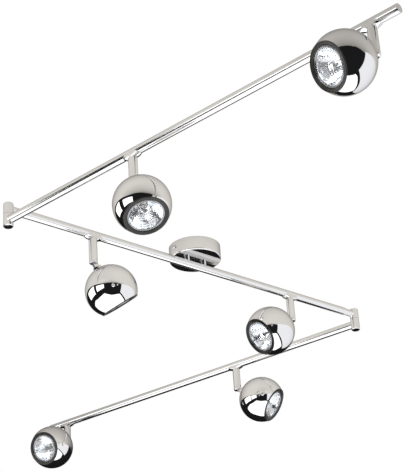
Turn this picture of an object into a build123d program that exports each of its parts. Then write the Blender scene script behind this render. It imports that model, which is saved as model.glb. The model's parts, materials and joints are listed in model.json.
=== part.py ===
from build123d import *
import os
from collections import namedtuple
from math import cos, radians, sin, sqrt

# A six-lamp folding ceiling spotlight. Three equal tubes make a Z: the middle bar hangs under a
# round canopy, and an arm turns about an upright elbow at each of its ends. Every bar carries two
# ball-shaped spots on short stems. Each stem swivels in its bar, and each head tilts in its stem.
#
# Millimetres. The origin is the centre of the canopy's ceiling face, +Z points up, and +X runs
# along the middle bar from the left elbow to the right elbow. "near" is the arm on the -Y side.

# Bars and elbows
bar_length = 700.0            # elbow axis to elbow axis, and elbow axis to an arm's free end
tube_radius = 6.5
tube_wall = 1.0
near_arm_direction = -80.3    # degrees from +X, seen from above
far_arm_direction = 105.3
barrel_radius = 7.5
barrel_wall = 1.5
barrel_above_bar = 9.0        # top of the elbow above the middle bar's axis
barrel_below_arm = 11.0       # bottom of the elbow below the arms' axis
barrel_plate = 3.0            # the plates that the hinge bolt passes through
elbow_drop = 18.5             # the arms' axis below the middle bar's axis
elbow_gap = 0.3               # running gap between the two halves of an elbow
neck_radius = 5.7
neck_end = 23.5               # where the middle bar's tube starts, from the elbow's axis
neck_blend = 3.0
spigot_length = 14.0          # how far a socket reaches into its tube
bolt_radius = 5.0             # hollow bolt that joins the two halves of an elbow
bolt_bore = 3.4               # also the wire way through every socket
bolt_flange_radius = 5.7
bolt_flange_height = 1.5
barrel_top_edge = 1.2
barrel_bottom_edge = 0.8
cap_rim_radius = 6.6
cap_rim_height = 0.3
cap_dome = 0.3                # how far a bottom cap bulges beyond its rim
cap_depth = 3.0
plug_flange = 1.5             # end cap of an arm, outside its tube
plug_edge = 0.9
plug_depth = 6.0
middle_wire_start = 12.0      # the wires, from the elbow's axis
arm_wire_start = 14.0
arm_wire_end = 650.0
running_gap = 0.05            # radial clearance of every turning fit

# Canopy and ceiling bracket
canopy_radius = 41.5
canopy_height = 23.0
canopy_wall = 1.0
canopy_edge = 2.0
bar_gap = 10.0                # the middle bar's axis below the canopy's underside
bracket_thickness = 1.5
bracket_width = 18.0
ceiling_hole_spacing = 52.0
ceiling_hole_radius = 2.25
side_screw_drop = 10.0        # the canopy's side screws below the ceiling
side_screw_radius = 2.0
side_screw_length = 7.0
ear_height = 15.0
post_spacing = 33.5
post_radius = 4.0             # threaded part inside the canopy
collar_radius = 4.5           # spacer between the canopy and the bar
post_bore = 2.6
post_end = 2.0                # thread beyond the nut
nut_across_flats = 13.0
nut_height = 4.0

# Spots
inner_spot_on_middle = 150.0  # from the elbow's axis
inner_spot_on_arm = 254.0
outer_spot_on_arm = 658.0
saddle_length = 29.0
saddle_width = 12.4
saddle_corner = 5.0
saddle_edge = 0.35            # thickness at a saddle's ends
saddle_middle = 9.6           # a saddle's radius about the bar's axis before its seat is cut
saddle_top = 2.0              # its upper edges below the bar's axis
saddle_seat = 8.7             # the flat seat of a stem below the bar's axis
stem_radius = 6.5
stem_wall = 1.5
stem_gap = 0.2                # running gap between a stem and its saddle
journal_radius = 3.5          # the turned-down top of a stem, which turns in the bar
journal_bore = 2.4
rolled_rim = 1.2              # gap between the rolled head of a journal and the tube's bore
rolled_height = 1.0
stem_head = 2.5               # the solid top of a stem
stem_foot = 11.0              # its solid lower part, above the tilt axis
stem_foot_bore = 3.0
stem_edge = 1.5
pivot_drop = 45.5             # the tilt axis below the bar's axis
stem_lip = 4.0                # the stem's lower end below the tilt axis
tongue_thickness = 4.0
tongue_half_width = 4.5
slot_gap = 0.2                # each side of the tongue
slot_back_gap = 0.3           # behind it
pivot_screw_radius = 2.0
pivot_head_radius = 3.2
pivot_head_height = 2.0
pivot_head_sink = 1.5         # depth of its recess in the stem
boss_radius = 6.5             # pad on a ball's back, round its tongue
boss_height = 2.2
ball_wire_hole = 1.5
ball_wire_offset = 4.2
head_reach = 52.0             # tilt axis to the ball's centre
ball_radius = 40.0
ball_wall = 1.2
mouth_radius = 31.0
lamp_radius = 25.0            # a standard 50 mm reflector lamp
lamp_neck_radius = 12.6
lamp_length = 45.0            # from its front to the end of its neck
lamp_inset = 0.4              # its front behind the shade's mouth
lamp_rim = 0.8
lamp_rim_height = 3.5
lamp_pin_spacing = 10.0
lamp_pin_radius = 1.6
lamp_pin_length = 4.0
lamp_stud_radius = 2.5
lamp_stud_length = 3.0
holder_radius = 13.2
holder_gap = 0.3              # between a lamp's neck and its holder
holder_socket = 8.5
holder_back = 33.0            # behind the ball's centre
holder_foot_radius = 3.0
wire_radius = 1.1
wire_height = 1.0             # the wires above their bar's axis
wire_offset = 1.6             # each wire beside its bar's axis

# Derived heights and places
middle_z = -canopy_height - bar_gap
arm_z = middle_z - elbow_drop
seam_z = middle_z - elbow_drop / 2
tube_bore = tube_radius - tube_wall
barrel_bore = barrel_radius - barrel_wall
spigot_radius = tube_bore - running_gap
elbow_x = bar_length / 2
mouth_plane = sqrt(ball_radius**2 - mouth_radius**2)
lamp_front = mouth_plane - lamp_inset
lamp_neck_end = lamp_front - lamp_length


def flat_direction(angle):
    """Level unit vector at an angle from +X, in degrees."""
    return Vector(cos(radians(angle)), sin(radians(angle)), 0)


Bar = namedtuple("Bar", "name start direction")
middle_bar = Bar("middle_bar", Vector(-elbow_x, 0, middle_z), flat_direction(0))
near_arm = Bar("near_arm", Vector(-elbow_x, 0, arm_z), flat_direction(near_arm_direction))
far_arm = Bar("far_arm", Vector(elbow_x, 0, arm_z), flat_direction(far_arm_direction))

# Each spot: the bar it hangs from, its distance along the bar, the heading of its lamp from +X and
# the tilt of its lamp from straight down, both in degrees.
Spot = namedtuple("Spot", "name bar along heading tilt")
spots = [
    Spot("spot_1", near_arm, outer_spot_on_arm, 167.4, 63.0),
    Spot("spot_2", near_arm, inner_spot_on_arm, -101.2, 25.0),
    Spot("spot_3", middle_bar, inner_spot_on_middle, -2.5, 35.8),
    Spot("spot_4", middle_bar, bar_length - inner_spot_on_middle, 170.3, 57.0),
    Spot("spot_5", far_arm, inner_spot_on_arm, -56.4, 56.0),
    Spot("spot_6", far_arm, outer_spot_on_arm, -161.8, 70.0),
]

os.makedirs("parts", exist_ok=True)


def save(piece, name):
    """Label a finished piece and write its file."""
    piece.label = name
    export_step(piece, f"parts/{name}.step")


def across(bar, distance):
    """Plane square to a bar at a distance along it, with its X level and its Y up."""
    level = Vector(0, 0, 1).cross(bar.direction)
    return Plane(origin=bar.start + bar.direction * distance, x_dir=level, z_dir=bar.direction)


def seat_of(spot):
    """Point on the bar's axis above a spot's stem."""
    return spot.bar.start + spot.bar.direction * spot.along


def spots_on(bar):
    return [spot for spot in spots if spot.bar is bar]


def turning_plane(origin, side, forward):
    """Plane for a turned profile: X is the distance from the axis and Y runs along it."""
    return Plane(origin=origin, x_dir=side, z_dir=side.cross(forward))


# ---------------------------------------------------------------- canopy and what it holds

ear_x = canopy_radius - canopy_wall - bracket_thickness / 2 - running_gap

with BuildPart() as ceiling_bracket:
    with BuildSketch(Plane.XY):
        Rectangle(2 * ear_x, bracket_width)
    extrude(amount=-bracket_thickness)
    with BuildSketch(Plane.XY):
        with Locations((ear_x, 0), (-ear_x, 0)):
            Rectangle(bracket_thickness, bracket_width / 2)
    extrude(amount=-ear_height)
    with BuildSketch(Plane.XY):
        with GridLocations(ceiling_hole_spacing, 0, 2, 1):
            Circle(ceiling_hole_radius)
    extrude(amount=-bracket_thickness, mode=Mode.SUBTRACT)
    with BuildSketch(Plane.YZ):
        with Locations((0, -side_screw_drop)):
            Circle(side_screw_radius)
    extrude(amount=canopy_radius, both=True, mode=Mode.SUBTRACT)
    with BuildSketch(Plane.XY):
        Circle(canopy_radius - canopy_wall - running_gap)
    extrude(amount=-ear_height, mode=Mode.INTERSECT)
save(ceiling_bracket.part, "ceiling_bracket")

block_length = 30.0
block_width = 16.0
block_height = 11.0
block_poles = 3
block_corner = 1.5
clamp_hole_radius = 1.8
entry_hole_radius = 1.6
entry_hole_height = 0.4 * block_height
with BuildPart() as terminal_block:
    with BuildSketch(Plane.XY.offset(-bracket_thickness - block_height)):
        RectangleRounded(block_length, block_width, block_corner)
    extrude(amount=block_height)
    with BuildSketch(Plane.XY.offset(-bracket_thickness - block_height)):
        with GridLocations(block_length / block_poles, block_width / 2, block_poles, 2):
            Circle(clamp_hole_radius)
    extrude(amount=block_height / 2, mode=Mode.SUBTRACT)
    with BuildSketch(Plane.XZ):
        with Locations((0, -bracket_thickness - entry_hole_height)):
            with GridLocations(block_length / block_poles, 0, block_poles, 1):
                Circle(entry_hole_radius)
    extrude(amount=block_width, both=True, mode=Mode.SUBTRACT)
save(terminal_block.part, "terminal_block")

with BuildPart() as canopy_cup:
    with BuildSketch(Plane.XY.offset(-canopy_height)):
        Circle(canopy_radius)
    extrude(amount=canopy_height)
    fillet(canopy_cup.edges().sort_by(Axis.Z)[0], canopy_edge)
    offset(amount=-canopy_wall, openings=canopy_cup.faces().sort_by(Axis.Z)[-1])
    with BuildSketch(Plane.XY.offset(-canopy_height)):
        with GridLocations(post_spacing, 0, 2, 1):
            Circle(post_radius + running_gap)
    extrude(amount=canopy_wall, mode=Mode.SUBTRACT)
    with BuildSketch(Plane.YZ):
        with Locations((0, -side_screw_drop)):
            Circle(side_screw_radius + 2 * running_gap)
    extrude(amount=canopy_radius, both=True, mode=Mode.SUBTRACT)
save(canopy_cup.part, "canopy_cup")

screw_head_radius = 4.0
screw_head_height = 2.6
screw_rim_height = 1.0
screw_slot_width = 1.0
with BuildPart() as canopy_side_screws:
    screw_face = Vector(canopy_radius, 0, -side_screw_drop)
    with BuildSketch(turning_plane(screw_face, Vector(0, 1, 0), Vector(1, 0, 0))):
        with BuildLine():
            Polyline(
                (0, screw_head_height),
                (0, -side_screw_length),
                (side_screw_radius, -side_screw_length),
                (side_screw_radius, 0),
                (screw_head_radius, 0),
                (screw_head_radius, screw_rim_height),
            )
            ThreePointArc(
                (screw_head_radius, screw_rim_height),
                (0.6 * screw_head_radius, 0.8 * screw_head_height),
                (0, screw_head_height),
            )
        make_face()
    revolve(axis=Axis(screw_face, (1, 0, 0)))
    with BuildSketch(Plane.YZ.offset(canopy_radius + screw_head_height / 2)):
        with Locations((0, -side_screw_drop)):
            Rectangle(2 * screw_head_radius, screw_slot_width)
    extrude(amount=screw_head_height, mode=Mode.SUBTRACT)
    mirror(about=Plane.YZ)
save(canopy_side_screws.part, "canopy_side_screws")

collar_foot = middle_z + tube_bore - tube_wall
with BuildPart() as canopy_posts:
    with BuildSketch(Plane.XY.offset(collar_foot)):
        with GridLocations(post_spacing, 0, 2, 1):
            Circle(collar_radius)
    extrude(amount=-canopy_height - collar_foot)
    with BuildSketch(Plane.XY.offset(-canopy_height)):
        with GridLocations(post_spacing, 0, 2, 1):
            Circle(post_radius)
    extrude(amount=canopy_wall + nut_height + post_end)
    with BuildSketch(Plane.XY.offset(collar_foot)):
        with GridLocations(post_spacing, 0, 2, 1):
            Circle(post_bore)
    extrude(amount=canopy_height, mode=Mode.SUBTRACT)
save(canopy_posts.part, "canopy_posts")

with BuildPart() as post_nuts:
    with BuildSketch(Plane.XY.offset(canopy_wall - canopy_height)):
        with GridLocations(post_spacing, 0, 2, 1):
            RegularPolygon(nut_across_flats / 2, 6, major_radius=False)
            Circle(post_radius, mode=Mode.SUBTRACT)
    extrude(amount=nut_height)
save(post_nuts.part, "post_nuts")


# ---------------------------------------------------------------- bars

def bar_tube(bar, start, end):
    """Round tube between two distances along a bar, with a hole in its underside for each stem."""
    with BuildPart() as tube:
        with BuildSketch(across(bar, start)):
            Circle(tube_radius)
            Circle(tube_bore, mode=Mode.SUBTRACT)
        extrude(amount=end - start)
        for spot in spots_on(bar):
            with BuildSketch(Plane(origin=seat_of(spot))):
                Circle(journal_radius + running_gap)
            extrude(amount=-2 * tube_radius, mode=Mode.SUBTRACT)
    return tube.part


def bar_wires(bar, start, end):
    """Two insulated cores that lie side by side in a bar."""
    with BuildPart() as wires:
        with BuildSketch(across(bar, start)):
            with Locations((wire_offset, wire_height), (-wire_offset, wire_height)):
                Circle(wire_radius)
        extrude(amount=end - start)
    save(wires.part, f"{bar.name}_wires")


def bar_saddles(bar):
    """Tapered half sleeves under a bar, each with a flat seat for a stem to turn on."""
    half_length = saddle_length / 2
    left_end = (-half_length, -tube_radius - saddle_edge)
    right_end = (half_length, -tube_radius - saddle_edge)
    level = Vector(0, 0, 1).cross(bar.direction)
    from_above = Plane(origin=bar.start, x_dir=bar.direction, z_dir=(0, 0, 1))
    places = [(spot.along, 0) for spot in spots_on(bar)]
    with BuildPart() as saddles:
        for spot in spots_on(bar):
            with BuildSketch(Plane(origin=seat_of(spot), x_dir=bar.direction, z_dir=-level)):
                with BuildLine():
                    Polyline(left_end, (-half_length, 0), (half_length, 0), right_end)
                    ThreePointArc(right_end, (0, -saddle_middle), left_end)
                make_face()
            revolve(axis=Axis(seat_of(spot), bar.direction))
        with BuildSketch(from_above.offset(-saddle_top)):
            with Locations(*places):
                RectangleRounded(saddle_length, saddle_width, saddle_corner)
        extrude(amount=saddle_top - saddle_seat, mode=Mode.INTERSECT)
        with BuildSketch(from_above):
            with Locations(*places):
                Circle(journal_radius + running_gap)
        extrude(amount=-2 * tube_radius, mode=Mode.SUBTRACT)
        with BuildSketch(across(bar, 0)):
            Circle(tube_radius)
        extrude(amount=bar_length, mode=Mode.SUBTRACT)
    save(saddles.part, f"{bar.name}_saddles")


with BuildPart() as middle_bar_tube:
    add(bar_tube(middle_bar, neck_end, bar_length - neck_end))
    with BuildSketch(Plane.XY.offset(middle_z)):
        with GridLocations(post_spacing, 0, 2, 1):
            Circle(collar_radius)
    extrude(amount=tube_radius, mode=Mode.SUBTRACT)
save(middle_bar_tube.part, "middle_bar_tube")

for arm in (near_arm, far_arm):
    with BuildPart() as arm_tube:
        add(bar_tube(arm, 0, bar_length - plug_flange))
        with BuildSketch(Plane(origin=arm.start)):
            Circle(barrel_radius)
        extrude(amount=tube_radius, both=True, mode=Mode.SUBTRACT)
    save(arm_tube.part, f"{arm.name}_tube")

    with BuildPart() as end_plug:
        with BuildSketch(across(arm, bar_length - plug_flange)):
            Circle(tube_radius)
        extrude(amount=plug_flange)
        rim = end_plug.edges().sort_by_distance(arm.start)[-1]
        fillet(rim, plug_edge)
        with BuildSketch(across(arm, bar_length - plug_flange)):
            Circle(tube_bore)
        extrude(amount=-plug_depth)
    save(end_plug.part, f"{arm.name}_end_plug")

bar_wires(middle_bar, middle_wire_start, bar_length - middle_wire_start)
bar_wires(near_arm, arm_wire_start, arm_wire_end)
bar_wires(far_arm, arm_wire_start, arm_wire_end)
for bar in (middle_bar, near_arm, far_arm):
    bar_saddles(bar)


# ---------------------------------------------------------------- elbows

def upper_socket(name, elbow, toward):
    """Closed upper half of an elbow, with a flared neck that plugs into the middle bar."""
    bottom = seam_z + elbow_gap / 2
    top = middle_z + barrel_above_bar
    elbow_bar = Bar(name, Vector(elbow, 0, middle_z), Vector(toward, 0, 0))
    with BuildPart() as socket:
        with BuildSketch(Plane(origin=(elbow, 0, bottom))):
            Circle(barrel_radius)
        extrude(amount=top - bottom)
        with BuildSketch(across(elbow_bar, 0)):
            Circle(neck_radius)
        extrude(amount=neck_end)
        fillet(socket.edges().filter_by(GeomType.BSPLINE), neck_blend)
        fillet(socket.edges().sort_by(Axis.Z)[-1], barrel_top_edge)
        with BuildSketch(across(elbow_bar, neck_end)):
            Circle(spigot_radius)
        extrude(amount=spigot_length)
        with BuildSketch(Plane(origin=(elbow, 0, bottom + barrel_plate))):
            Circle(barrel_bore)
        extrude(amount=top - bottom - barrel_plate - barrel_wall, mode=Mode.SUBTRACT)
        with BuildSketch(Plane(origin=(elbow, 0, bottom))):
            Circle(bolt_radius)
        extrude(amount=barrel_plate, mode=Mode.SUBTRACT)
        with BuildSketch(across(elbow_bar, 0)):
            Circle(bolt_bore)
        extrude(amount=neck_end + spigot_length, mode=Mode.SUBTRACT)
    save(socket.part, name)


def lower_socket(arm):
    """Lower half of an elbow, which turns about the hollow bolt and plugs into the arm."""
    bottom = arm_z - barrel_below_arm
    top = seam_z - elbow_gap / 2
    with BuildPart() as socket:
        with BuildSketch(Plane(origin=(arm.start.X, 0, bottom))):
            Circle(barrel_radius)
        extrude(amount=top - bottom)
        chamfer(socket.edges().sort_by(Axis.Z)[0], barrel_bottom_edge)
        with BuildSketch(across(arm, 0)):
            Circle(spigot_radius)
        extrude(amount=barrel_radius + spigot_length)
        with BuildSketch(Plane(origin=(arm.start.X, 0, bottom))):
            Circle(barrel_bore)
        extrude(amount=top - bottom - barrel_plate, mode=Mode.SUBTRACT)
        with BuildSketch(Plane(origin=(arm.start.X, 0, bottom))):
            Circle(bolt_radius + running_gap)
        extrude(amount=top - bottom, mode=Mode.SUBTRACT)
        with BuildSketch(across(arm, 0)):
            Circle(bolt_bore)
        extrude(amount=barrel_radius + spigot_length, mode=Mode.SUBTRACT)
    save(socket.part, f"{arm.name}_socket")


def bottom_cap(arm):
    """Slightly domed plug that closes the lower half of an elbow."""
    bottom = Vector(arm.start.X, 0, arm_z - barrel_below_arm)
    tip = -cap_rim_height - cap_dome
    dome_radius = (cap_rim_radius**2 + cap_dome**2) / (2 * cap_dome)
    halfway = (cap_rim_radius / 2, tip + dome_radius - sqrt(dome_radius**2 - (cap_rim_radius / 2)**2))
    with BuildPart() as cap:
        with BuildSketch(turning_plane(bottom, Vector(1, 0, 0), Vector(0, 0, 1))):
            with BuildLine():
                Polyline(
                    (0, tip),
                    (0, cap_depth),
                    (barrel_bore, cap_depth),
                    (barrel_bore, 0),
                    (cap_rim_radius, 0),
                    (cap_rim_radius, -cap_rim_height),
                )
                ThreePointArc((cap_rim_radius, -cap_rim_height), halfway, (0, tip))
            make_face()
        revolve(axis=Axis(bottom, (0, 0, 1)))
    save(cap.part, f"{arm.name}_bottom_cap")


upper_socket("left_upper_socket", -elbow_x, 1)
upper_socket("right_upper_socket", elbow_x, -1)
for arm in (near_arm, far_arm):
    lower_socket(arm)
    bottom_cap(arm)

flange_top = seam_z - elbow_gap / 2 - barrel_plate - running_gap
with BuildPart() as elbow_bolts:
    with BuildSketch(Plane.XY.offset(flange_top - bolt_flange_height)):
        with GridLocations(bar_length, 0, 2, 1):
            Circle(bolt_flange_radius)
    extrude(amount=bolt_flange_height)
    with BuildSketch(Plane.XY.offset(flange_top)):
        with GridLocations(bar_length, 0, 2, 1):
            Circle(bolt_radius)
    extrude(amount=2 * barrel_plate + elbow_gap + running_gap)
    with BuildSketch(Plane.XY.offset(flange_top - bolt_flange_height)):
        with GridLocations(bar_length, 0, 2, 1):
            Circle(bolt_bore)
    extrude(amount=elbow_drop, mode=Mode.SUBTRACT)
save(elbow_bolts.part, "elbow_bolts")


# ---------------------------------------------------------------- spots

def build_stem(spot, side, heading, pivot):
    """Hollow stem with a turned-down journal on top and a one-sided fork at its lower end."""
    seat = seat_of(spot)
    top = -saddle_seat - stem_gap
    bottom = -pivot_drop - stem_lip
    cavity_radius = stem_radius - stem_wall
    cavity_floor = stem_foot - pivot_drop
    rolled_radius = tube_bore - rolled_rim
    rolled_foot = running_gap - sqrt(tube_bore**2 - rolled_radius**2)
    with BuildPart() as stem:
        with BuildSketch(turning_plane(seat, side, Vector(0, 0, 1))):
            with BuildLine():
                Polyline(
                    (journal_bore, rolled_foot + rolled_height),
                    (rolled_radius, rolled_foot + rolled_height),
                    (rolled_radius, rolled_foot),
                    (journal_radius, rolled_foot),
                    (journal_radius, top),
                    (stem_radius, top),
                    (stem_radius, bottom),
                    (0, bottom),
                    (0, cavity_floor - stem_foot_bore),
                    (journal_bore, cavity_floor - stem_foot_bore),
                    (journal_bore, cavity_floor),
                    (cavity_radius, cavity_floor),
                    (cavity_radius, top - stem_head),
                    (journal_bore, top - stem_head),
                    close=True,
                )
            make_face()
        revolve(axis=Axis(seat, (0, 0, 1)))
        fillet(stem.edges().sort_by(Axis.Z)[0], stem_edge)
        slot_back = tongue_half_width + slot_back_gap
        with BuildSketch(Plane(origin=pivot, x_dir=heading, z_dir=-side)):
            with Locations((-slot_back, slot_back + slot_gap)):
                Rectangle(2 * stem_radius, 3 * stem_radius, align=(Align.MIN, Align.MAX))
        extrude(amount=tongue_thickness / 2 + slot_gap, both=True, mode=Mode.SUBTRACT)
        with BuildSketch(Plane(origin=pivot + Vector(0, 0, stem_foot))):
            Circle(journal_bore)
        extrude(amount=tongue_half_width - stem_foot, mode=Mode.SUBTRACT)
        with BuildSketch(Plane(origin=pivot, z_dir=side)):
            Circle(pivot_screw_radius)
        extrude(amount=stem_radius, both=True, mode=Mode.SUBTRACT)
        with BuildSketch(Plane(origin=pivot + side * (stem_radius - pivot_head_sink), z_dir=side)):
            Circle(pivot_head_radius)
        extrude(amount=stem_radius, mode=Mode.SUBTRACT)
    save(stem.part, f"{spot.name}_stem")


def build_pivot_screw(spot, side, pivot):
    """Low-headed screw across the fork, which the head tilts on."""
    head_seat = stem_radius - pivot_head_sink
    tip = 0.5 - stem_radius
    slot_floor = 1.2
    slot_width = 0.8
    with BuildPart() as screw:
        with BuildSketch(Plane(origin=pivot + side * tip, z_dir=side)):
            Circle(pivot_screw_radius)
        extrude(amount=head_seat - tip)
        with BuildSketch(Plane(origin=pivot + side * head_seat, z_dir=side)):
            Circle(pivot_head_radius)
        extrude(amount=pivot_head_height)
        outer_rim = screw.edges().sort_by(Axis(pivot, side))[-1]
        fillet(outer_rim, pivot_head_height - slot_floor)
        with BuildSketch(Plane(origin=pivot + side * (head_seat + slot_floor), x_dir=(0, 0, 1), z_dir=side)):
            Rectangle(2 * pivot_head_radius, slot_width)
        extrude(amount=pivot_head_height, mode=Mode.SUBTRACT)
    save(screw.part, f"{spot.name}_pivot_screw")


def build_shade(spot, side, aim, pivot, centre):
    """Ball-shaped shade, cut off at its mouth, with the tongue that it tilts on welded to its back."""
    inner_radius = ball_radius - ball_wall
    mouth_inner = sqrt(inner_radius**2 - mouth_plane**2)
    with BuildPart() as shade:
        with BuildSketch(turning_plane(centre, side, aim)):
            with BuildLine():
                ThreePointArc((0, -ball_radius), (ball_radius, 0), (mouth_radius, mouth_plane))
                Line((mouth_radius, mouth_plane), (mouth_inner, mouth_plane))
                ThreePointArc((mouth_inner, mouth_plane), (inner_radius, 0), (0, -inner_radius))
                Line((0, -inner_radius), (0, -ball_radius))
            make_face()
        revolve(axis=Axis(centre, aim))
        with BuildSketch(Plane(origin=centre - aim * (ball_radius - ball_wall / 2), z_dir=-aim)):
            Circle(boss_radius)
        extrude(amount=ball_wall / 2 + boss_height)
        with BuildSketch(Plane(origin=pivot, x_dir=aim, z_dir=side)):
            Circle(tongue_half_width)
            Rectangle(head_reach - ball_radius + ball_wall / 2, 2 * tongue_half_width,
                      align=(Align.MIN, Align.CENTER))
        extrude(amount=tongue_thickness / 2, both=True)
        with BuildSketch(Plane(origin=pivot, z_dir=side)):
            Circle(pivot_screw_radius + running_gap)
        extrude(amount=tongue_thickness, both=True, mode=Mode.SUBTRACT)
        wire_hole = centre - aim * (ball_radius - 2 * ball_wall) + side * ball_wire_offset
        with BuildSketch(Plane(origin=wire_hole, z_dir=-aim)):
            Circle(ball_wire_hole)
        extrude(amount=3 * ball_wall + boss_height, mode=Mode.SUBTRACT)
    save(shade.part, f"{spot.name}_shade")


def build_front_ring(spot, side, aim, centre):
    """Stepped ring that covers the shade's mouth and surrounds the lamp."""
    inner = lamp_radius + 0.5
    sleeve = mouth_radius - 1.9
    ring_outline = [
        (inner, -7), (inner, 0.6), (inner + 1.4, 0.6), (inner + 1.4, 1.1),
        (inner + 2.8, 1.1), (inner + 2.8, 1.6), (mouth_radius - 0.3, 1.6),
        (mouth_radius, 1.3), (mouth_radius, 0), (sleeve, 0), (sleeve, -5.5), (sleeve - 1.1, -7),
    ]
    with BuildPart() as ring:
        with BuildSketch(turning_plane(centre + aim * mouth_plane, side, aim)):
            with BuildLine():
                Polyline(*ring_outline, close=True)
            make_face()
        revolve(axis=Axis(centre, aim))
    save(ring.part, f"{spot.name}_front_ring")


def build_lamp(spot, side, aim, centre):
    """Reflector lamp: a glass cone, a square-shouldered neck and two stud pins."""
    rim_back = lamp_front - lamp_rim_height
    cone_start = (lamp_radius - 0.9, rim_back)
    cone_middle = (20.0, lamp_front - 18.0)
    cone_end = (lamp_neck_radius + 0.6, lamp_front - 28.0)
    stud_place = centre + aim * (lamp_neck_end - lamp_pin_length)
    with BuildPart() as lamp:
        with BuildSketch(turning_plane(centre, side, aim)):
            with BuildLine():
                Polyline(
                    (0, lamp_neck_end),
                    (0, lamp_front),
                    (lamp_radius - lamp_rim, lamp_front),
                    (lamp_radius, lamp_front - lamp_rim),
                    (lamp_radius, rim_back),
                    cone_start,
                )
                ThreePointArc(cone_start, cone_middle, cone_end)
                Polyline(
                    cone_end,
                    (lamp_neck_radius, lamp_front - 29.0),
                    (lamp_neck_radius, lamp_neck_end),
                    (0, lamp_neck_end),
                )
            make_face()
        revolve(axis=Axis(centre, aim))
        with BuildSketch(Plane(origin=centre + aim * lamp_neck_end, x_dir=side, z_dir=-aim)):
            with GridLocations(lamp_pin_spacing, 0, 2, 1):
                Circle(lamp_pin_radius)
        extrude(amount=lamp_pin_length)
        with BuildSketch(Plane(origin=stud_place, x_dir=side, z_dir=-aim)):
            with GridLocations(lamp_pin_spacing, 0, 2, 1):
                Circle(lamp_stud_radius)
        extrude(amount=lamp_stud_length)
    save(lamp.part, f"{spot.name}_lamp")


def build_lamp_holder(spot, side, aim, centre):
    """Ceramic holder that the lamp's pins plug into, standing on a foot inside the shade."""
    front = lamp_neck_end - holder_gap
    socket_floor = front - holder_socket
    foot_length = ball_radius - ball_wall - holder_back - 0.15
    with BuildPart() as holder:
        with BuildSketch(Plane(origin=centre + aim * front, x_dir=side, z_dir=-aim)):
            Circle(holder_radius)
            with GridLocations(lamp_pin_spacing, 0, 2, 1):
                Circle(lamp_stud_radius + 0.2, mode=Mode.SUBTRACT)
        extrude(amount=holder_socket)
        with BuildSketch(Plane(origin=centre + aim * socket_floor, x_dir=side, z_dir=-aim)):
            Circle(holder_radius)
        extrude(amount=holder_back + socket_floor)
        with BuildSketch(Plane(origin=centre - aim * holder_back, z_dir=-aim)):
            Circle(holder_foot_radius)
        extrude(amount=foot_length)
    save(holder.part, f"{spot.name}_lamp_holder")


for spot in spots:
    heading = flat_direction(spot.heading)
    side = Vector(0, 0, 1).cross(heading)
    down = Vector(0, 0, -1)
    aim = heading * sin(radians(spot.tilt)) + down * cos(radians(spot.tilt))
    pivot = seat_of(spot) + down * pivot_drop
    centre = pivot + aim * head_reach
    build_stem(spot, side, heading, pivot)
    build_pivot_screw(spot, side, pivot)
    build_shade(spot, side, aim, pivot, centre)
    build_front_ring(spot, side, aim, centre)
    build_lamp(spot, side, aim, centre)
    build_lamp_holder(spot, side, aim, centre)
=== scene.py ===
import json
import math
import random

import bmesh
import bpy
from mathutils import Matrix, Vector


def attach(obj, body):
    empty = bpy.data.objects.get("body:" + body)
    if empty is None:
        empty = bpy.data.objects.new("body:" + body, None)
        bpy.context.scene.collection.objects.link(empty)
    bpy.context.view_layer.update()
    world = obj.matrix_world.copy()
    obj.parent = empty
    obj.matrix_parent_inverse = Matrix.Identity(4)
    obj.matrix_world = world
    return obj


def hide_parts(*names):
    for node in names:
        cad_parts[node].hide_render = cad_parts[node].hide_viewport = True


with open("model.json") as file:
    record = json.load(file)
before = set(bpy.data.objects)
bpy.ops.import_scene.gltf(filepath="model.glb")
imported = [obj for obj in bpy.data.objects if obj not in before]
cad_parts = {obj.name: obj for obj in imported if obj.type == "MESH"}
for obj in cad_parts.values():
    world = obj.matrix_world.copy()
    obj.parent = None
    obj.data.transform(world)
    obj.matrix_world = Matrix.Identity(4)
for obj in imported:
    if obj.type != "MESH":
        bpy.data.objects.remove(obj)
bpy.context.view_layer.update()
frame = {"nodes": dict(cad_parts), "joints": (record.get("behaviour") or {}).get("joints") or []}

nodes = frame["nodes"]
SPOTS = range(1, 7)

# ---------------------------------------------------------------- camera
CAMERA_PLACE = Vector((-1.3534, -1.6259, -1.1110))
CAMERA_YAW, CAMERA_PITCH, CAMERA_ROLL = 40.16, 28.15, -3.95  # degrees
CAMERA_LENS = 112.95


def make_camera():
    """Camera below and in front of the fixture. Yaw is clockwise from +Y, seen from above."""
    yaw, pitch, roll = (math.radians(a) for a in (CAMERA_YAW, CAMERA_PITCH, CAMERA_ROLL))
    ahead = Vector((math.sin(yaw) * math.cos(pitch), math.cos(yaw) * math.cos(pitch), math.sin(pitch)))
    level = Vector((math.cos(yaw), -math.sin(yaw), 0.0))
    upright = level.cross(ahead)
    right = level * math.cos(roll) + upright * math.sin(roll)
    up = upright * math.cos(roll) - level * math.sin(roll)
    data = bpy.data.cameras.new("camera")
    data.lens = CAMERA_LENS
    camera = bpy.data.objects.new("camera", data)
    bpy.context.scene.collection.objects.link(camera)
    turn = Matrix((right, up, -ahead)).transposed().to_4x4()
    camera.matrix_world = Matrix.Translation(CAMERA_PLACE) @ turn
    bpy.context.scene.camera = camera


# ---------------------------------------------------------------- materials
MIX_COLOUR_A, MIX_COLOUR_B, MIX_COLOUR = 6, 7, 2  # sockets of the Mix node in colour mode
EDGE_START, EDGE_FULL = 0.52, 0.60  # pointiness where wear on an edge starts, and where it is full
EDGE_TINT = (0.5, 0.5, 0.5, 1.0)
HAIRLINE_STRETCH = (1.0, 14.0, 14.0)
GROOVE_WAVES = 16000.0  # radians per metre


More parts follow.
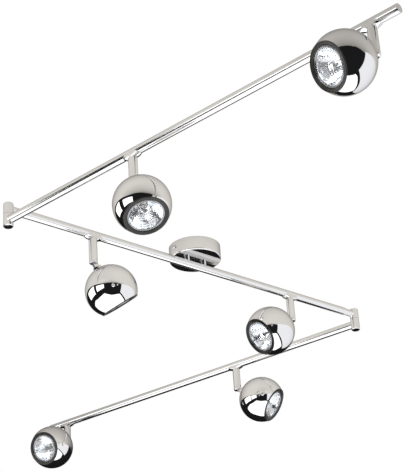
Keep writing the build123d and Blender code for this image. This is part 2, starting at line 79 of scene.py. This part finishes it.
class Nodes:
    """A material's node tree, and short ways to add nodes to it."""

    def __init__(self, name):
        self.material = bpy.data.materials.new(name)
        self.material.use_nodes = True
        self.tree = self.material.node_tree
        self.place = self.node("TexCoord").outputs["Object"]

    def node(self, kind, **settings):
        node = self.tree.nodes.new("ShaderNode" + kind)
        for key, value in settings.items():
            if key in node.inputs:
                node.inputs[key].default_value = value
            else:
                setattr(node, key, value)
        return node

    def link(self, start, end):
        self.tree.links.new(start, end)

    def noise(self, scale, detail, stretch=(1.0, 1.0, 1.0)):
        noise = self.node("TexNoise", Scale=scale, Detail=detail)
        mapping = self.node("Mapping", Scale=stretch)
        self.link(self.place, mapping.inputs["Vector"])
        self.link(mapping.outputs["Vector"], noise.inputs["Vector"])
        return noise.outputs["Fac"]

    def cells(self, scale):
        """A different grey for each cell of a Voronoi pattern."""
        voronoi = self.node("TexVoronoi", Scale=scale)
        self.link(self.place, voronoi.inputs["Vector"])
        grey = self.node("RGBToBW")
        self.link(voronoi.outputs["Color"], grey.inputs["Color"])
        return grey.outputs["Val"]

    def span(self, value, low, high, start=0.3, end=0.7):
        """Maps value from the range start to end onto low to high, and clamps it."""
        ranged = self.node("MapRange")
        for key, number in (("From Min", start), ("From Max", end), ("To Min", low), ("To Max", high)):
            ranged.inputs[key].default_value = number
        self.link(value, ranged.inputs["Value"])
        return ranged.outputs["Result"]

    def math(self, operation, first, second):
        """first and second are sockets or floats."""
        node = self.node("Math", operation=operation)
        for socket, value in zip(node.inputs, (first, second)):
            if isinstance(value, float):
                socket.default_value = value
            else:
                self.link(value, socket)
        return node.outputs["Value"]

    def mix(self, value, first, second):
        """Colour from first, where value is 0, to second, where it is 1."""
        mix = self.node("Mix", data_type="RGBA")
        mix.inputs[MIX_COLOUR_A].default_value = (*first, 1.0)
        mix.inputs[MIX_COLOUR_B].default_value = (*second, 1.0)
        self.link(value, mix.inputs["Factor"])
        return mix.outputs[MIX_COLOUR]

    def edges(self):
        """0 on flat faces and up to 1 on outer edges, where a surface wears."""
        geometry = self.node("NewGeometry")
        return self.span(geometry.outputs["Pointiness"], 0.0, 1.0, EDGE_START, EDGE_FULL)

    def radius(self):
        """Distance from the piece's own Z axis, in metres."""
        flat = self.node("VectorMath", operation="MULTIPLY")
        flat.inputs[1].default_value = (1.0, 1.0, 0.0)
        length = self.node("VectorMath", operation="LENGTH")
        self.link(self.place, flat.inputs[0])
        self.link(flat.outputs["Vector"], length.inputs[0])
        return length.outputs["Value"]


class Shader(Nodes):
    """A material with a Principled shader."""

    def __init__(self, name, **values):
        super().__init__(name)
        self.main = self.tree.nodes["Principled BSDF"]
        for key, value in values.items():
            self.main.inputs[key.replace("_", " ")].default_value = value

    def drive(self, socket, value):
        self.link(value, self.main.inputs[socket])

    def bump(self, height, strength, distance):
        bump = self.node("Bump", Strength=strength, Distance=distance)
        self.link(height, bump.inputs["Height"])
        self.drive("Normal", bump.outputs["Normal"])


class Glow(Nodes):
    """A material that only gives off light."""

    def __init__(self, name, colour, strength=1.0):
        super().__init__(name)
        self.tree.nodes.remove(self.tree.nodes["Principled BSDF"])
        self.emission = self.node("Emission", Color=(*colour, 1.0), Strength=strength)
        output = self.tree.nodes["Material Output"]
        self.link(self.emission.outputs["Emission"], output.inputs["Surface"])


def plated(name, light, dark, roughness, scratch):
    """Polished plating: faint smudges, hairline polishing marks and rougher outer edges."""
    s = Shader(name, Metallic=1.0, Specular_Tint=EDGE_TINT)
    smudge = s.noise(34.0, 5.0)
    hairlines = s.noise(90.0, 2.0, HAIRLINE_STRETCH)
    s.drive("Base Color", s.mix(s.span(smudge, 0.0, 1.0), dark, light))
    marks = s.math("ADD", s.span(smudge, 0.0, roughness), s.span(hairlines, 0.0, roughness * 0.6))
    s.drive("Roughness", s.math("ADD", marks, s.math("MULTIPLY", s.edges(), 0.12)))
    s.bump(hairlines, scratch, 0.00004)
    return s.material


def zinc_steel():
    """Zinc plating: grey spangles and a fine grain."""
    s = Shader("zinc_steel", Metallic=1.0)
    spangle = s.cells(260.0)
    s.drive("Base Color", s.mix(spangle, (0.50, 0.52, 0.55), (0.68, 0.70, 0.72)))
    wear = s.math("MULTIPLY", s.edges(), 0.1)
    s.drive("Roughness", s.math("ADD", s.span(spangle, 0.28, 0.42, 0.0, 1.0), wear))
    s.bump(s.noise(700.0, 4.0), 0.25, 0.0001)
    return s.material


def dark_ring():
    """Gloss black paint on a ring turned on a lathe."""
    s = Shader("gloss_black", IOR=1.48)
    wave = s.node("Math", operation="SINE")
    s.link(s.math("MULTIPLY", s.radius(), GROOVE_WAVES), wave.inputs[0])
    smudge = s.noise(60.0, 4.0)
    wear = s.math("ADD", s.span(smudge, 0.0, 0.6), s.math("MULTIPLY", s.edges(), 0.6))
    s.drive("Base Color", s.mix(wear, (0.007, 0.0065, 0.006), (0.024, 0.022, 0.020)))
    s.drive("Roughness", s.span(smudge, 0.08, 0.20))
    s.bump(wave.outputs["Value"], 0.15, 0.00003)
    return s.material


def mirror():
    """The lamp's aluminised bowl: slightly hazy, with a hammered grain."""
    s = Shader("lamp_mirror", Metallic=1.0)
    haze = s.noise(120.0, 4.0)
    s.drive("Base Color", s.mix(s.span(haze, 0.0, 1.0), (0.86, 0.88, 0.92), (0.95, 0.96, 0.98)))
    s.drive("Roughness", s.span(haze, 0.04, 0.12))
    s.bump(s.cells(420.0), 0.12, 0.0002)
    return s.material


def glass(name, ripple):
    """Clear glass with a faint haze and ripple."""
    s = Shader(name, Transmission_Weight=1.0, IOR=1.46)
    haze = s.noise(90.0, 3.0)
    s.drive("Base Color", s.mix(s.span(haze, 0.0, 1.0), (0.965, 0.985, 0.99), (1.0, 1.0, 1.0)))
    s.drive("Roughness", s.span(haze, 0.0, 0.03))
    s.bump(s.noise(260.0, 2.0), ripple, 0.0002)
    return s.material


def moulded(name, light, dark, roughness, grain, depth):
    """Plastic or ceramic: mottled colour, a fine moulded grain, and paler worn edges."""
    s = Shader(name)
    mottle = s.noise(70.0, 5.0)
    wear = s.math("MULTIPLY", s.edges(), 0.4)
    s.drive("Base Color", s.mix(s.math("ADD", s.span(mottle, 0.0, 0.8), wear), dark, light))
    s.drive("Roughness", s.span(mottle, roughness - 0.08, roughness + 0.08))
    s.bump(s.noise(grain, 3.0), 0.3, depth)
    return s.material


MATERIALS = {
    "chrome": plated(
        "polished_chrome", (0.86, 0.86, 0.865), (0.82, 0.82, 0.82), roughness=0.03, scratch=0.02
    ),
    "zinc_steel": zinc_steel(),
    "dark_ring": dark_ring(),
    "lamp_glass": mirror(),
    "ceramic": moulded(
        "ceramic", (0.86, 0.84, 0.78), (0.74, 0.72, 0.66), roughness=0.45, grain=900.0, depth=0.0002
    ),
    "terminal_plastic": moulded(
        "terminal_plastic", (0.84, 0.83, 0.77), (0.74, 0.73, 0.67), roughness=0.4, grain=1500.0, depth=0.0001
    ),
    "wire_insulation": moulded(
        "wire_insulation", (0.80, 0.79, 0.76), (0.68, 0.67, 0.64), roughness=0.45, grain=700.0, depth=0.0001
    ),
}
CLEAR_GLASS = glass("clear_glass", ripple=0.05)
QUARTZ = glass("quartz", ripple=0.12)
FILAMENT = plated("tungsten", (0.16, 0.155, 0.15), (0.09, 0.088, 0.085), roughness=0.3, scratch=0.1)
RIM = plated("rim_aluminium", (0.50, 0.51, 0.52), (0.38, 0.39, 0.40), roughness=0.30, scratch=0.08)


def dress_nodes():
    """Gives each CAD node the material of its slot."""
    for node in nodes.values():
        slot_name = node.material_slots[0].name
        node.material_slots[0].material = MATERIALS[slot_name]


# ---------------------------------------------------------------- mesh helpers
MM = 0.001
MERGE_DISTANCE = 1e-7
SHARP = math.radians(28.0)


def piece(name, mesh, material, matrix, body, replaced):
    """Places a finished mesh as a piece that rides on a body and stands for a CAD node."""
    mesh.materials.append(material)
    thing = bpy.data.objects.new(name, mesh)
    bpy.context.scene.collection.objects.link(thing)
    thing.matrix_world = matrix
    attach(thing, body)
    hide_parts(replaced)


def mesh_from(name, points, faces):
    """Smooth mesh from points in millimetres, with its normals outward and its edges sharp."""
    mesh = bpy.data.meshes.new(name)
    mesh.from_pydata([tuple(c * MM for c in p) for p in points], [], faces)
    build = bmesh.new()
    build.from_mesh(mesh)
    bmesh.ops.remove_doubles(build, verts=build.verts, dist=MERGE_DISTANCE)
    bmesh.ops.recalc_face_normals(build, faces=build.faces)
    build.to_mesh(mesh)
    build.free()
    mesh.shade_smooth()
    mesh.set_sharp_from_angle(angle=SHARP)
    return mesh


def turned(profile, steps):
    """Points and faces of a closed outline of (radius, height) turned about Z."""
    points, faces = [], []
    count = len(profile)
    for step in range(steps):
        angle = 2 * math.pi * step / steps
        points += [(r * math.cos(angle), r * math.sin(angle), z) for r, z in profile]
    for step in range(steps):
        here, there = step * count, (step + 1) % steps * count
        for i in range(count):
            j = (i + 1) % count
            if profile[i][0] or profile[j][0]:
                faces.append((here + i, there + i, there + j, here + j))
    return points, faces


def arc(centre, radius, first, last, count):
    """(radius, height) points along an arc of a profile, angles in degrees."""
    turn = [math.radians(first + (last - first) * i / count) for i in range(count + 1)]
    return [(centre[0] + radius * math.cos(a), centre[1] + radius * math.sin(a)) for a in turn]


def lofted(sections, steps):
    """Points and faces of ellipses of (half width, half depth, height), closed at both ends."""
    points, faces = [], []
    for wide, deep, height in sections:
        for step in range(steps):
            angle = 2 * math.pi * step / steps
            points.append((wide * math.cos(angle), deep * math.sin(angle), height))
    for i in range(len(sections) - 1):
        for k in range(steps):
            a, b = i * steps + k, i * steps + (k + 1) % steps
            faces.append((a, b, b + steps, a + steps))
    last = (len(sections) - 1) * steps
    faces += [tuple(range(steps - 1, -1, -1)), tuple(range(last, last + steps))]
    return points, faces


def twins(points, faces, offset):
    """Points and faces of two copies, set offset to either side along X."""
    both = [(x + place, y, z) for place in (-offset, offset) for x, y, z in points]
    return both, faces + [tuple(i + len(points) for i in face) for face in faces]


def wire_mesh(name, path, radius):
    """Round wire along a path, as a mesh."""
    curve = bpy.data.curves.new(name, "CURVE")
    curve.dimensions = "3D"
    curve.bevel_depth = radius * MM
    curve.bevel_resolution = 2
    curve.use_fill_caps = True
    spline = curve.splines.new("POLY")
    spline.points.add(len(path) - 1)
    for point, place in zip(spline.points, path):
        point.co = (*[c * MM for c in place], 1.0)
    holder = bpy.data.objects.new(name, curve)
    mesh = bpy.data.meshes.new_from_object(holder)
    bpy.data.objects.remove(holder)
    bpy.data.curves.remove(curve)
    mesh.shade_smooth()
    return mesh


# ---------------------------------------------------------------- lamps and rings
# Heights are in millimetres along a lamp's axis from the centre of its ball.
HEAD_REACH = 52.0 * MM  # from the tilt axis to the ball's centre
MOUTH = 25.28
LAMP_FRONT = 24.88
NECK_END = LAMP_FRONT - 45.0
RING_STEPS = 128

RING_RADIUS = 31.0
RING_EDGE = 0.7
RING_BORE = 25.55
SLEEVE_RADIUS = 29.1
SLEEVE_DEPTH = 7.0
GROOVES = 6
GROOVE_PITCH = 0.56
GROOVE_DROP = 0.2

BOWL_RADIUS = 23.4
BOWL_CURVE, BOWL_VERTEX = 4.9, 25.5  # the parabola's factor, and its vertex behind the front
BOWL_START, BOWL_DEPTH = 1.6, 21.6
FACET_RINGS, FACET_SECTORS = 9, 34
FACET_PILLOW = 0.22
FACET_SHARP = math.radians(9.0)
FACET_SEED = 7
CONE_RADIUS, CONE_DEPTH = 24.1, 24.6
CONE_STEPS = 12
GLASS_RADIUS, GLASS_DOME, GLASS_THICKNESS = 22.7, 0.45, 1.25
GLASS_STEPS = 10
COIL_TURNS, COIL_STEPS, COIL_RADIUS, COIL_REACH = 8, 10, 0.85, 2.4
LEAD_RADIUS = 0.32
FOIL_OFFSET = 1.9
PIN_OFFSET = 5.0


def head_frame(number):
    """Matrix whose origin is a ball's centre, whose X is its tilt axis and whose Z is where it aims."""
    joint = next(j for j in frame["joints"] if j["name"] == f"spot_{number}_tilt")
    side = Vector(joint["axis"]).normalized()
    tilt = math.radians(max(joint["range_deg"]))
    heading = side.cross(Vector((0.0, 0.0, 1.0)))
    aim = heading * math.sin(tilt) - Vector((0.0, 0.0, 1.0)) * math.cos(tilt)
    centre = Vector(joint["pos_m"]) + aim * HEAD_REACH
    turn = Matrix((side, aim.cross(side), aim)).transposed().to_4x4()
    return Matrix.Translation(centre) @ turn


def ring_mesh():
    """Turned ring: rounded outer rim, fine grooves down a shallow cone, and a sleeve behind."""
    grooves = []
    for i in range(GROOVES):
        radius, height = 29.7 - GROOVE_PITCH * i, MOUTH + 1.45 - GROOVE_DROP * i
        grooves += [(radius, height), (radius - 0.40, height - 0.10), (radius - 0.46, height - 0.22)]
    sleeve = [
        (25.9, MOUTH + 0.05),
        (RING_BORE, MOUTH - 0.3),
        (RING_BORE, MOUTH - SLEEVE_DEPTH),
        (28.0, MOUTH - SLEEVE_DEPTH),
        (SLEEVE_RADIUS, MOUTH - 5.5),
        (SLEEVE_RADIUS, MOUTH),
    ]
    edge = arc((RING_RADIUS - RING_EDGE, MOUTH + 0.9), RING_EDGE, 0, 90, 5)
    return mesh_from("ring", *turned([(RING_RADIUS, MOUTH), *edge, *grooves, *sleeve], RING_STEPS))


def bowl_radius(depth):
    """Inner radius of the lamp's parabolic bowl at a depth behind its front."""
    return min(BOWL_CURVE * math.sqrt(BOWL_VERTEX - depth), BOWL_RADIUS)


def bowl_points(depths, columns):
    """Points of the bowl. Those in the middle of a facet are raised, each by its own amount."""
    spread = random.Random(FACET_SEED)
    points = []
    for i, depth in enumerate(depths):
        for k in range(columns):
            angle = 2 * math.pi * k / columns
            r = bowl_radius(depth)
            if i % 2 and (k + i // 2) % 2:
                r -= FACET_PILLOW * spread.uniform(0.6, 1.4)
            points.append((r * math.cos(angle), r * math.sin(angle), LAMP_FRONT - depth))
    return points


def cone_outline(throat):
    """(radius, height) points down the outside of the lamp's glass body, and in to its throat."""
    front, back = LAMP_FRONT - 3.6, LAMP_FRONT - 28.4
    outline = [(24.9, LAMP_FRONT - BOWL_START), (24.95, LAMP_FRONT - 3.4), (CONE_RADIUS, front)]
    for step in range(1, CONE_STEPS + 1):
        along = step / CONE_STEPS
        outline.append((CONE_RADIUS - 11.2 * along**1.25, front - CONE_DEPTH * along))
    return [*outline, (12.9, back), (throat, back)]


def reflector_mesh():
    """The lamp's glass body: a bowl of pillowed facets inside, and a smooth cone outside."""
    rows, columns = 2 * FACET_RINGS + 1, 2 * FACET_SECTORS
    depths = [BOWL_START + BOWL_DEPTH * (i / (rows - 1)) ** 0.85 for i in range(rows)]
    points = bowl_points(depths, columns)
    faces = []
    for i in range(rows - 1):
        for k in range(columns):
            a, b = i * columns + k, i * columns + (k + 1) % columns
            faces.append((a, b, b + columns, a + columns))
    inner, low = len(points), (rows - 1) * columns
    outline = cone_outline(bowl_radius(depths[-1]))
    count = len(outline)
    for k in range(columns):
        angle = 2 * math.pi * k / columns
        points += [(r * math.cos(angle), r * math.sin(angle), z) for r, z in outline]
    for k in range(columns):
        after = (k + 1) % columns
        here, there = inner + k * count, inner + after * count
        faces += [(here + i, there + i, there + i + 1, here + i + 1) for i in range(count - 1)]
        faces.append((k, after, there, here))
        faces.append((low + k, low + after, there + count - 1, here + count - 1))
    mesh = mesh_from("reflector", points, faces)
    mesh.set_sharp_from_angle(angle=FACET_SHARP)
    return mesh


def glass_mesh():
    """Cover glass, slightly domed, with a rounded edge."""
    middle = LAMP_FRONT - 0.15
    parts = [i / GLASS_STEPS for i in range(GLASS_STEPS + 1)]
    dome = [(GLASS_RADIUS * part, middle - GLASS_DOME * part**2) for part in parts]
    back = [(GLASS_RADIUS * part, middle - GLASS_THICKNESS) for part in reversed(parts)]
    edge = (GLASS_RADIUS + 0.15, middle - 0.9)
    return mesh_from("cover_glass", *turned([*dome, edge, *back], 96))


def rim_mesh():
    """Bright rolled rim of two beads that holds the cover glass to the lamp."""
    outer = arc((24.72, LAMP_FRONT - 0.42), 0.52, -30, 165, 8)
    inner = arc((23.35, LAMP_FRONT - 0.60), 0.62, 20, 200, 8)
    back = [(22.75, LAMP_FRONT - 1.5), (25.2, LAMP_FRONT - 1.5)]
    return mesh_from("rim", *turned([*outer, *inner, *back], RING_STEPS))


def burner_mesh():
    """Quartz capsule with a flat pinch below and a drawn tip above."""
    # half width, half depth, height from the lamp's front
    pinch = [(3.9, 1.2, -24.6), (4.2, 1.5, -24.2), (4.2, 1.5, -19.0), (4.2, 2.0, -18.0), (4.3, 3.2, -16.6)]
    body = [(4.5, 4.2, -15.2), (4.5, 4.5, -14.0), (4.5, 4.5, -11.4), (4.2, 4.2, -10.0), (3.4, 3.4, -8.7)]
    tip = [(2.2, 2.2, -7.9), (1.1, 1.1, -7.3), (0.7, 0.7, -6.6), (0.3, 0.3, -6.1), (0.1, 0.1, -6.0)]
    sections = [(wide, deep, LAMP_FRONT + height) for wide, deep, height in (*pinch, *body, *tip)]
    return mesh_from("burner", *lofted(sections, 36))


def filament_mesh():
    """Coiled wire across the capsule, on two bent leads."""
    middle, foot = LAMP_FRONT - 12.6, LAMP_FRONT - 24.4
    coil = []
    for i in range(COIL_TURNS * COIL_STEPS + 1):
        angle = 2 * math.pi * i / COIL_STEPS
        along = -COIL_REACH + 2 * COIL_REACH * i / (COIL_TURNS * COIL_STEPS)
        coil.append((along, COIL_RADIUS * math.cos(angle), middle + COIL_RADIUS * math.sin(angle)))
    left = [(-1.7, 0.0, foot), (-1.7, 0.0, middle - 5.5), (-3.0, 0.0, middle - 2.4), (-2.8, 0.3, middle)]
    right = [(-x, y, z) for x, y, z in reversed(left)]
    return wire_mesh("filament", [*left, *coil, *right], LEAD_RADIUS)


def foils_mesh():
    """Two thin foils sealed in the capsule's pinch."""
    foil = [(0.9, 0.06, -23.4), (1.1, 0.12, -23.0), (1.1, 0.12, -18.8), (0.9, 0.06, -18.4)]
    points, faces = lofted([(wide, deep, LAMP_FRONT + height) for wide, deep, height in foil], 16)
    return mesh_from("foils", *twins(points, faces, FOIL_OFFSET))


def base_mesh():
    """Ceramic plug inside the bowl's throat, and the lamp's neck behind it."""
    throat, shoulder = LAMP_FRONT - 23.0, LAMP_FRONT - 28.5
    plug = [(0.0, throat), (4.6, throat), (5.6, throat - 0.8), (5.6, shoulder), (12.0, shoulder)]
    neck = [*arc((11.8, shoulder - 0.8), 0.8, 90, 0, 4), (12.6, NECK_END + 1.0), (12.2, NECK_END)]
    return mesh_from("lamp_base", *turned([*plug, *neck, (0.0, NECK_END)], 64))


def pins_mesh():
    """Two stud pins with broad heads."""
    stud = NECK_END - 4.0
    pin = [(0.0, NECK_END), (1.6, NECK_END), (1.6, stud)]
    head = [(2.2, stud), (2.5, stud - 0.4), (2.5, stud - 2.6), (2.1, stud - 3.0), (0.0, stud - 3.0)]
    points, faces = turned([*pin, *head], 24)
    return mesh_from("pins", *twins(points, faces, PIN_OFFSET))


def make_heads():
    """Each spot's lamp and front ring, in place of the plain CAD ones."""
    kinds = [  # piece, mesh, material, slot, replaced node
        ("ring", ring_mesh, MATERIALS["dark_ring"], "dark_ring", "front_ring"),
        ("reflector", reflector_mesh, MATERIALS["lamp_glass"], "lamp_glass", "lamp"),
        ("cover_glass", glass_mesh, CLEAR_GLASS, "lamp_glass", "lamp"),
        ("lamp_rim", rim_mesh, RIM, "chrome", "lamp"),
        ("burner", burner_mesh, QUARTZ, "lamp_glass", "lamp"),
        ("filament", filament_mesh, FILAMENT, "chrome", "lamp"),
        ("foils", foils_mesh, FILAMENT, "chrome", "lamp"),
        ("lamp_base", base_mesh, MATERIALS["ceramic"], "ceramic", "lamp"),
        ("lamp_pins", pins_mesh, RIM, "chrome", "lamp"),
    ]
    for name, build, material, slot, node in kinds:
        for number in SPOTS:
            spot = f"spot_{number}"
            matrix = head_frame(number)
            piece(f"{spot}_{name}", build(), material, matrix, f"{spot}_head", f"{spot}_{node}")


# ---------------------------------------------------------------- studio
CEILING_HEIGHT = 0.003
CEILING = [
    (-0.88, -0.40), (-0.55, -0.85), (-0.28, -1.06), (0.05, -1.40), (1.6, -1.2), (1.6, 0.9), (0.9, 0.9),
    (0.35, 0.78), (0.0, 0.74), (-0.22, 0.60), (-0.40, 0.44), (-0.62, 0.22), (-0.78, 0.0), (-0.9, -0.25),
]
CEILING_COLOUR = (1.0, 0.957, 0.897)
# Glow of the ceiling board under full painted shade close above the fixture, and in the open.
CEILING_DARKEST, CEILING_BRIGHTEST = 0.42, 0.79
CEILING_SHADE_REACH = 0.12
# Painted fall-off of light across the ceiling board, away from the lights.
CEILING_LIGHT_FALLOFF = [  # direction, distances where the fall starts and ends, and what is left there
    ((0.6, 0.8, 0.0), 0.30, 1.05, 0.10),
    ((-0.645, -0.764, 0.0), 0.50, 0.95, 0.40),
]
TABLE_HEIGHT = -0.80
TABLE = [
    (-1.2, -0.35), (-0.57, -0.57), (-0.3, -0.80), (-0.08, -0.98), (0.053, -0.92), (0.787, 0.007),
    (0.61, 0.386), (0.27, 0.61), (0.0, 1.05), (-0.5, 1.5), (-1.0, 0.9), (-1.0, 0.45),
]
WHITE = (1.0, 1.0, 1.0)
TABLE_STRENGTH, WALL_STRENGTH, WINDOW_STRENGTH = 1.5, 1.02, 1.8
WALL_COLOUR = (0.97, 0.975, 1.0)
ROOM_RADIUS = 4.0
ROOM_COLOUR = (0.012, 0.012, 0.013)
FLOOR_HEIGHT, FLOOR_SIZE = -3.2, 600.0


def ceiling_glow():
    """Glowing board that stands in for a lit ceiling, with painted light and painted shade: painted fall-off
    of light makes it darker far from the lights, and painted shade makes it darker close above the fixture.
    """
    s = Glow("ceiling_glow", CEILING_COLOUR)
    # Painted shade: ambient occlusion darkens the board's glow close above the fixture, where its shadow
    # would fall.
    painted_fixture_shade = s.node("AmbientOcclusion", Distance=CEILING_SHADE_REACH, samples=8)
    level = s.span(painted_fixture_shade.outputs["AO"], CEILING_DARKEST, CEILING_BRIGHTEST, 0.0, 1.0)
    # Painted light: the glow fades along each direction, away from the lights.
    for direction, start, end, least in CEILING_LIGHT_FALLOFF:
        along = s.node("VectorMath", operation="DOT_PRODUCT")
        along.inputs[1].default_value = direction
        s.link(s.place, along.inputs[0])
        level = s.math("MULTIPLY", level, s.span(along.outputs["Value"], 1.0, least, start, end))
    s.link(level, s.emission.inputs["Strength"])
    return s.material


def reflected_only(thing):
    """Hides a panel from the camera and from matt surfaces. It shows in reflections and through glass."""
    thing.visible_camera = False
    thing.visible_diffuse = False
    thing.visible_shadow = False


def card(name, corners, material):
    """Flat panel that only shows in reflections."""
    mesh = bpy.data.meshes.new(name)
    mesh.from_pydata(corners, [], [list(range(len(corners)))])
    mesh.materials.append(material)
    panel = bpy.data.objects.new(name, mesh)
    bpy.context.scene.collection.objects.link(panel)
    reflected_only(panel)


def wall(name, start, end, low, high, material):
    """Upright card between two (x, y) points and two heights."""
    card(name, [(*start, low), (*end, low), (*end, high), (*start, high)], material)


def soft_light(name, place, size, watts):
    """Round soft light aimed at the canopy. It doesn't show in the chrome."""
    data = bpy.data.lights.new(name, "AREA")
    data.shape = "DISK"
    data.size = size
    data.energy = watts
    light = bpy.data.objects.new(name, data)
    bpy.context.scene.collection.objects.link(light)
    light.location = place
    light.rotation_euler = (-Vector(place)).to_track_quat("-Z", "Y").to_euler()
    light.visible_glossy = False


def make_world():
    world = bpy.data.worlds.new("studio")
    world.use_nodes = True
    background = world.node_tree.nodes["Background"]
    background.inputs["Color"].default_value = (*WHITE, 1.0)
    background.inputs["Strength"].default_value = 1.0
    bpy.context.scene.world = world
    bpy.context.scene.view_settings.view_transform = "Standard"


def make_panels():
    """The bright and dark surroundings that the chrome reflects."""
    card("ceiling_card", [(x, y, CEILING_HEIGHT) for x, y in CEILING], ceiling_glow())
    table_glow = Glow("table_glow", WHITE, TABLE_STRENGTH).material
    card("table_card", [(x, y, TABLE_HEIGHT) for x, y in TABLE], table_glow)
    side_glow = Glow("wall_glow", WALL_COLOUR, WALL_STRENGTH).material
    wall("wall_card", (-0.02, -1.17), (1.0, 0.27), -0.72, 0.0, side_glow)
    window_glow = Glow("window_glow", WHITE, WINDOW_STRENGTH).material
    wall("window_card_a", (-0.877, 1.524), (-1.15, 0.42), -0.46, 0.09, window_glow)
    wall("window_card_b", (-1.8, 0.35), (-2.5, -1.0), -0.56, 0.09, window_glow)
    bpy.ops.mesh.primitive_uv_sphere_add(segments=48, ring_count=24, radius=ROOM_RADIUS, location=(0, 0, 0))
    room = bpy.context.object
    room.name = "dark_room"
    room.data.materials.append(Glow("dark_glow", ROOM_COLOUR).material)
    reflected_only(room)


def make_floor():
    bpy.ops.mesh.primitive_plane_add(size=FLOOR_SIZE, location=(0, 0, FLOOR_HEIGHT))
    floor = bpy.context.object
    floor.name = "floor"
    pale = Shader("pale_floor", Roughness=0.9)
    pale.drive("Base Color", pale.mix(pale.noise(0.6, 3.0), (0.945, 0.945, 0.94), (0.97, 0.97, 0.965)))
    floor.data.materials.append(pale.material)
    floor.visible_glossy = False


def make_studio():
    make_world()
    make_panels()
    soft_light("key_light", (-1.5, -1.2, -0.9), size=1.2, watts=18.0)
    soft_light("top_light", (0.8, -0.6, 2.2), size=1.6, watts=30.0)
    make_floor()


make_camera()
make_studio()
dress_nodes()
make_heads()
